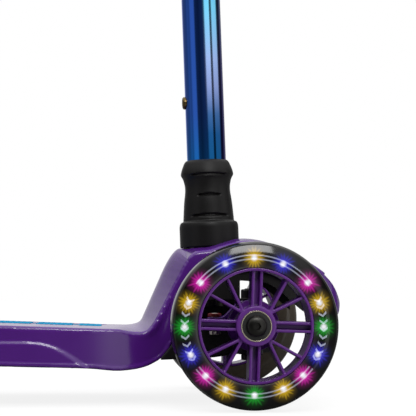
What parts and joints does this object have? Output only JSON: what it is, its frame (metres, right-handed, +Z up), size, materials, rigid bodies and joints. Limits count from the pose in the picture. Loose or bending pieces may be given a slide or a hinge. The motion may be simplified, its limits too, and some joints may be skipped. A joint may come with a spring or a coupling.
{
  "type": "kick scooter",
  "caption": "Child's lean-to-steer kick scooter with wide-set front wheels, moulded deck and cowl, height-adjustable handlebar and foot brake",
  "frame": {"origin": "on the ground under the middle of the bounding box", "axes": "+X forward, +Y to the rider's left, +Z up"},
  "size_m": [0.5734, 0.3, 0.7025],
  "materials": {
    "deck_plastic": "glossy moulded purple polypropylene",
    "rim_plastic": "purple moulded nylon, soft gloss",
    "grip_cyan": "matt cyan rubber pads",
    "black_plastic": "black moulded plastic, fine texture",
    "rubber_black": "black satin rubber",
    "tyre_smoke": "smoked glossy polyurethane",
    "oil_slick": "mirror-bright blue and violet oil-slick coating",
    "steel": "zinc-plated steel",
    "dark_steel": "black-oxide steel",
    "brass": "dark aged brass",
    "red_urethane": "red polyurethane",
    "light_core": "white ring that carries the lights"
  },
  "bodies": {
    "deck": {"deck_body": "deck_plastic", "deck_grip_mat": "grip_cyan", "pivot_housing": "black_plastic", "lean_bolt": "dark_steel", "lean_nut": "dark_steel", "rear_axle_bolt": "dark_steel", "rear_axle_nut": "dark_steel", "brake_pin": "steel", "brake_spring": "steel", "neck_sleeve": "rubber_black", "neck_post": "steel", "lower_tube": "oil_slick", "button_spring": "steel", "tube_bushing": "black_plastic", "clamp_collar": "black_plastic", "clamp_bolt": "steel", "lever_pin": "steel"},
    "release_button": {"release_button": "brass"},
    "clamp_lever": {"clamp_lever": "black_plastic"},
    "handlebar": {"upper_tube": "oil_slick", "tee_joint": "black_plastic", "handlebar_tube": "dark_steel", "grip_left": "rubber_black", "grip_right": "rubber_black", "bar_plug_left": "black_plastic", "bar_plug_right": "black_plastic"},
    "brake": {"brake_fender": "black_plastic"},
    "rear_wheel": {"rear_tyre": "tyre_smoke", "rear_core": "rim_plastic", "rear_bearing_left": "steel", "rear_bearing_right": "steel", "rear_spacer": "steel"},
    "truck": {"truck_beam": "black_plastic", "lean_bushing_rear": "red_urethane", "lean_bushing_front": "red_urethane", "kingpin_left": "dark_steel", "kingpin_right": "dark_steel", "kingpin_nut_left": "black_plastic", "kingpin_nut_right": "black_plastic"},
    "tie_rod": {"tie_rod": "dark_steel"},
    "knuckle_left": {"knuckle_left": "deck_plastic", "tie_pin_left": "steel", "tie_bushing_left": "red_urethane", "front_axle_bolt_left": "dark_steel"},
    "front_wheel_left": {"front_tyre_left": "tyre_smoke", "led_ring_left": "light_core", "front_rim_left": "rim_plastic", "front_bearing_outer_left": "steel", "front_bearing_inner_left": "steel", "front_spacer_left": "steel"},
    "knuckle_right": {"knuckle_right": "deck_plastic", "tie_pin_right": "steel", "tie_bushing_right": "red_urethane", "front_axle_bolt_right": "dark_steel"},
    "front_wheel_right": {"front_tyre_right": "tyre_smoke", "led_ring_right": "light_core", "front_rim_right": "rim_plastic", "front_bearing_outer_right": "steel", "front_bearing_inner_right": "steel", "front_spacer_right": "steel"}
  },
  "joints": [
    {"name": "lean", "type": "hinge", "parent": "deck", "child": "truck", "pos_m": [0.2095, 0, 0.044], "axis": [1, 0, 0], "range_deg": [-12, 12], "stiffness_Nm_per_rad": 25},
    {"name": "steer_left", "type": "hinge", "parent": "truck", "child": "knuckle_left", "pos_m": [0.2095, 0.075, 0.06], "axis": [0, 0, 1], "range_deg": [-15.5, 15.5]},
    {"name": "steer_right", "type": "hinge", "parent": "truck", "child": "knuckle_right", "pos_m": [0.2095, -0.075, 0.06], "axis": [0, 0, 1], "range_deg": [-15.5, 15.5]},
    {"name": "tie_rod_slide", "type": "slide", "parent": "truck", "child": "tie_rod", "axis": [0, 1, 0], "range_m": [-0.0072, 0.0072]},
    {"name": "front_spin_left", "type": "hinge", "parent": "knuckle_left", "child": "front_wheel_left", "pos_m": [0.2095, 0.105, 0.06], "axis": [0, 1, 0], "continuous": true},
    {"name": "front_spin_right", "type": "hinge", "parent": "knuckle_right", "child": "front_wheel_right", "pos_m": [0.2095, -0.105, 0.06], "axis": [0, 1, 0], "continuous": true},
    {"name": "rear_spin", "type": "hinge", "parent": "deck", "child": "rear_wheel", "pos_m": [-0.23, 0, 0.04], "axis": [0, 1, 0], "continuous": true},
    {"name": "brake_press", "type": "hinge", "parent": "deck", "child": "brake", "pos_m": [-0.189, 0, 0.0705], "axis": [0, -1, 0], "range_deg": [0, 4.8], "stiffness_Nm_per_rad": 3, "springref_deg": -3.44},
    {"name": "bar_height", "type": "slide", "parent": "deck", "child": "handlebar", "axis": [-0.0365, 0, 0.9993], "range_m": [0, 0.18]},
    {"name": "clamp_open", "type": "hinge", "parent": "deck", "child": "clamp_lever", "pos_m": [0.14705, -0.0165, 0.48576], "axis": [0.0365, 0, -0.9993], "range_deg": [0, 110]},
    {"name": "button_press", "type": "slide", "parent": "deck", "child": "release_button", "axis": [0.9993, 0, 0.0365], "range_m": [0, 0.0034], "stiffness_N_per_m": 800, "springref_m": -0.001}
  ],
  "couplings": [
    {"joint": "steer_left", "follows": "lean", "ratio": 1.25},
    {"joint": "steer_right", "follows": "lean", "ratio": 1.25},
    {"joint": "tie_rod_slide", "follows": "lean", "m_per_rad": -0.0325}
  ]
}
